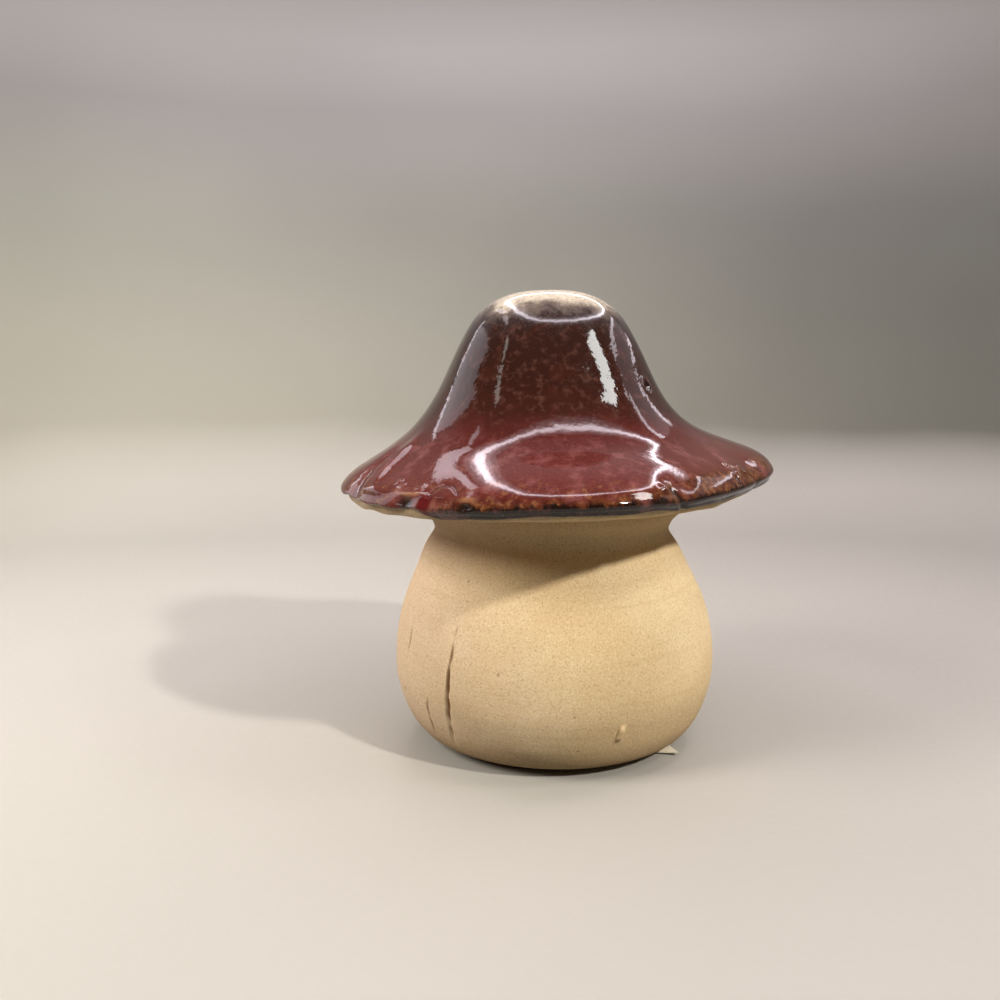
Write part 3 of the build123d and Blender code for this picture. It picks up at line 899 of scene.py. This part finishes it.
for index in np.linspace(0, len(r_in) - 12, 20).astype(int):
    reach = r_in[index] + 0.2 * sin(z_in[index] * 1.1)
    clay_rows.append(flat_ring(reach, z_in[index], clay_angles))
clay_top = np.array([0.0, 0.0, CAP_HEIGHT - GLAZE_DEPTH])
hollow_top = np.array([0.0, 0.0, CAP_HEIGHT - GLAZE_DEPTH - CAP_WALL])
round_mesh(
    "crown_clay", seat_to_row(np.stack(clay_rows)),
    (seat_to_row(clay_top), seat_to_row(hollow_top)),
    "cap", "cap_crown", CAP_CLAY,
)
for node in ("cap_underside", "cap_collar"):
    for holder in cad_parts[node].material_slots:
        holder.material = CAP_CLAY

# ---------------------------------------------------------------- the paper corner under the foot
TIP = np.array([37.02, -24.51])
SIDE_TURNS = (104.0, 168.0)
PAPER_THICKNESS = 0.24
PAPER_START = 33.8
PAPER_SHORTEST = 34.6
PAPER_FURTHEST = 60.0
# How deep the paper is glued into the clay's face, where it bends away, and how low it dips
GLUED_UNDER = 0.34
BEND_AWAY = 36.5
PAPER_DIP = 0.45
tip_angle = np.degrees(np.arctan2(TIP[1], TIP[0]))
strip_angles = np.sort(np.append(np.linspace(-56.0, -12.0, 45), tip_angle))


def label_reach(angle):
    """How far out the paper goes at this compass angle, up to its two straight edges."""
    way = np.array([cos(radians(angle)), sin(radians(angle))])
    best = PAPER_FURTHEST
    for turn in SIDE_TURNS:
        edge = np.array([cos(radians(turn)), sin(radians(turn))])
        normal = np.array([-edge[1], edge[0]])
        facing = way @ normal
        if abs(facing) > 1e-6 and (TIP @ normal) / facing > 0:
            best = min(best, (TIP @ normal) / facing)
    return best


strip = []
for angle in strip_angles:
    reach = label_reach(angle)
    if reach < PAPER_SHORTEST:
        continue
    column = []
    for step in np.linspace(0, 1, 15):
        out = PAPER_START + (reach - PAPER_START) * step
        glued = np.interp(out, line[:400, 0], line[:400, 1]) - GLUED_UNDER
        free = PAPER_DIP + PAPER_DIP * ((out - BEND_AWAY) / 8.0) ** 2 if out > BEND_AWAY else glued
        level = glued if out < BEND_AWAY else min(glued + 0.02, free)
        column.append((out * cos(radians(angle)), out * sin(radians(angle)), max(level, 0.05)))
    strip.append(column)
strip = np.array(strip)
over = strip + (0.0, 0.0, PAPER_THICKNESS)
columns, steps = strip.shape[:2]
points = np.concatenate([strip.reshape(-1, 3), over.reshape(-1, 3)])
faces = []
shift = columns * steps


def label_side(a, b, flip):
    """A face of the paper's edge, up from two points of its underside."""
    side = (a, b, b + shift, a + shift)
    return side[::-1] if flip else side


for c in range(columns - 1):
    for s in range(steps - 1):
        a, b = c * steps + s, (c + 1) * steps + s
        faces += [(a + 1, b + 1, b, a), (a + shift, b + shift, b + 1 + shift, a + 1 + shift)]
for c in range(columns - 1):
    for s, flip in ((0, False), (steps - 1, True)):
        faces.append(label_side(c * steps + s, (c + 1) * steps + s, flip))
for s in range(steps - 1):
    for c, flip in ((0, True), (columns - 1, False)):
        faces.append(label_side(c * steps + s, c * steps + s + 1, flip))
label_mesh = bpy.data.meshes.new("label")
label_mesh.from_pydata((points * METRES).tolist(), [], faces)
label_mesh.materials.append(paper_finish())
label = bpy.data.objects.new("label", label_mesh)
scene.collection.objects.link(label)
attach(label, "stem")
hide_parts("base_label")

# ---------------------------------------------------------------- one round sweep as the stage
SWEEP_RADIUS = 960.0
SWEEP_MIDDLE = -410.0
BEND = 210.0
WALL = 1100.0
# The backdrop's tones change with its height up to this one, and from the right to the left. These
# changes are painted light and shade: the floor paler than the wall, and the right darker than the
# left.
TONES_TOP = 400
TONES_SIDES = (380, -420)
sweep_line = [(reach, 0.0) for reach in np.linspace(4, SWEEP_RADIUS - BEND, 12)]
for step in np.linspace(0, 1, 15)[1:]:
    turn = step * pi / 2
    sweep_line.append((SWEEP_RADIUS - BEND + BEND * sin(turn), BEND - BEND * cos(turn)))
sweep_line.append((SWEEP_RADIUS, WALL))
ring_turns = np.radians(np.arange(0, 360, 3.0))
sweep_points = [
    (r * cos(t), r * sin(t) + SWEEP_MIDDLE, z) for r, z in sweep_line for t in ring_turns
]
sweep_points.append((0, SWEEP_MIDDLE, 0))
count = len(ring_turns)
sweep_faces = []
for row in range(len(sweep_line) - 1):
    for c in range(count):
        n = (c + 1) % count
        here, above = row * count, (row + 1) * count
        sweep_faces.append((here + c, here + n, above + n, above + c))
for c in range(count):
    sweep_faces.append((len(sweep_points) - 1, (c + 1) % count, c))
sweep_mesh = bpy.data.meshes.new("sweep")
sweep_faces = [face[::-1] for face in sweep_faces]
sweep_mesh.from_pydata((np.array(sweep_points) * METRES).tolist(), [], sweep_faces)
sweep_mesh.polygons.foreach_set("use_smooth", np.ones(len(sweep_faces), bool))
floor = Finish("sweep_grey")
height = floor.fade(floor.wobble(floor.axis(2), floor.noise(260, 2), 24), 0, TONES_TOP)
side = floor.fade(floor.wobble(floor.axis(0), floor.noise(300, 2), 120), *TONES_SIDES)
# Painted shade on the right and painted light on the left, each changing with height.
right = floor.ramp(
    height,
    (0.004, tone(160, 155, 151)),
    (0.05, tone(94, 93, 86)),
    (0.30, tone(94, 93, 87)),
    (0.59, tone(104, 103, 100)),
    (0.84, tone(126, 122, 122)),
    (0.96, tone(142, 139, 140)),
)
left = floor.ramp(
    height,
    (0.004, tone(194, 190, 180)),
    (0.06, tone(172, 168, 154)),
    (0.59, tone(162, 161, 153)),
    (0.85, tone(153, 150, 150)),
    (0.96, tone(168, 165, 166)),
)
tint = floor.mix(side, right, left)
# The floor looks pale, and throws less of its light back on the ornament than it seems to
rays = floor.tree.nodes.new("ShaderNodeLightPath")
seen = floor.sum("MAXIMUM", rays.outputs["Is Camera Ray"], rays.outputs["Is Glossy Ray"])
seen = floor.sum("MAXIMUM", seen, rays.outputs["Is Transmission Ray"])
tint = floor.mix(seen, tone(98, 95, 88), tint)
fine = floor.noise(2.5, 3)
matt = floor.fade(fine, 0.3, 0.7, 0.55, 0.65)
grain = floor.bump(fine, 0.03)
sweep_mesh.materials.append(floor.finish(tint, matt, grain, Specular_IOR_Level=0.3))
sweep = bpy.data.objects.new("sweep", sweep_mesh)
scene.collection.objects.link(sweep)


# ---------------------------------------------------------------- lamps
def lamp(name, place, aim, size, radiance, colour):
    """A soft rectangular lamp, sized and placed in metres, as bright as this radiance."""
    data = bpy.data.lights.new(name, "AREA")
    data.shape = "RECTANGLE"
    data.size, data.size_y = size
    data.energy = radiance * pi * size[0] * size[1]
    data.color = colour
    lamp_object = bpy.data.objects.new(name, data)
    lamp_object.location = place
    lamp_object.rotation_euler = (Vector(aim) - Vector(place)).to_track_quat("-Z", "Y").to_euler()
    lamp_object.visible_camera = False
    scene.collection.objects.link(lamp_object)
    return lamp_object


LILAC = (1.0, 0.91, 0.99)
WARM = (1.0, 0.96, 0.88)
FOCUS = (0.0, -0.01, 0.105)


def lamp_at(name, azimuth, elevation, far, size, radiance, colour):
    """A lamp that faces the cap. Azimuth 0 is straight behind the ornament, and 90 to its right."""
    flat = far * cos(radians(elevation))
    place = (
        FOCUS[0] + flat * sin(radians(azimuth)),
        FOCUS[1] + flat * cos(radians(azimuth)),
        FOCUS[2] + far * sin(radians(elevation)),
    )
    return lamp(name, place, FOCUS, size, radiance, colour)


# The tent's ceiling: a rounded ring of light, each side a bright core with a dim halo
CEILING = 0.41
RING = (
    (-0.142, 0.190), (-0.136, 0.045), (-0.110, -0.060), (-0.055, -0.112), (0.035, -0.124),
    (0.130, -0.085), (0.205, -0.005), (0.248, 0.090), (0.262, 0.200), (0.250, 0.320),
    (0.195, 0.395), (0.090, 0.420), (-0.030, 0.415), (-0.115, 0.370), (-0.143, 0.290),
)
# Each layer's name, width and radiance, and how far above the ceiling it is
RING_LAYERS = (
    ("core", 0.016, 7.0, 0.0), ("inner", 0.026, 3.2, 0.002), ("middle", 0.042, 1.4, 0.004),
    ("halo", 0.070, 0.8, 0.006),
)
RING_OVERLAP = 0.006
for index, start in enumerate(RING):
    stop = RING[(index + 1) % len(RING)]
    middle_x, middle_y = (start[0] + stop[0]) / 2, (start[1] + stop[1]) / 2
    length = np.hypot(stop[0] - start[0], stop[1] - start[1])
    for layer, width, radiance, lift in RING_LAYERS:
        place, below = (middle_x, middle_y, CEILING + lift), (middle_x, middle_y, 0.0)
        size = (length + RING_OVERLAP, width)
        side = lamp(f"ring_{index}_{layer}", place, below, size, radiance, LILAC)
        side.rotation_euler = (0, 0, np.arctan2(stop[1] - start[1], stop[0] - start[0]))
glow = lamp(
    "ring_glow", (0.057, 0.17, CEILING + 0.009), (0.057, 0.17, 0.0), (0.36, 0.44), 0.22, LILAC
)
glow.rotation_euler = (0, 0, 0)
lamp_at("key", 135, 34.5, 1.0, (0.06, 0.06), 740.0, WARM)
low_fill = lamp_at("left_low", -115, 33, 0.90, (0.36, 0.36), 17.5, WARM)
low_fill.visible_glossy = False
lamp_at("window", 110, 42.5, 0.45, (0.10, 0.095), 15.0, (0.98, 1.0, 0.97))
lamp_at("left_slit", -111, 42, 0.45, (0.045, 0.085), 3.2, WARM)
lamp("left_wall", (-0.36, 0.15, 0.245), (0.0, 0.15, 0.245), (0.30, 0.27), 1.4, (0.92, 0.90, 1.0))
lamp("left_seam", (-0.355, 0.30, 0.325), (0.0, 0.0, 0.12), (0.02, 0.15), 4.0, LILAC)
for name, x, y, size_x, size_y, radiance, turn in (
    ("left_band", -0.205, 0.19, 0.034, 0.17, 3.6, 0.12),
    ("left_bend", -0.235, 0.04, 0.034, 0.10, 3.0, -0.45),
):
    eaves = lamp(name, (x, y, CEILING), (x, y, 0.0), (size_x, size_y), radiance, LILAC)
    eaves.rotation_euler = (0, 0, turn)
lamp("right_wall", (0.37, 0.15, 0.33), (0.0, 0.05, 0.12), (0.30, 0.10), 0.5, LILAC)
lamp("right_seam", (0.36, 0.15, 0.385), (0.0, 0.05, 0.12), (0.30, 0.018), 5.0, LILAC)
lamp("right_foot", (0.36, 0.25, 0.29), (0.0, 0.05, 0.12), (0.14, 0.014), 4.0, LILAC)

world = bpy.data.worlds.new("world")
world.use_nodes = True
world.node_tree.nodes["Background"].inputs["Color"].default_value = (0.95, 0.97, 1.0, 1.0)
world.node_tree.nodes["Background"].inputs["Strength"].default_value = 0.12
scene.world = world
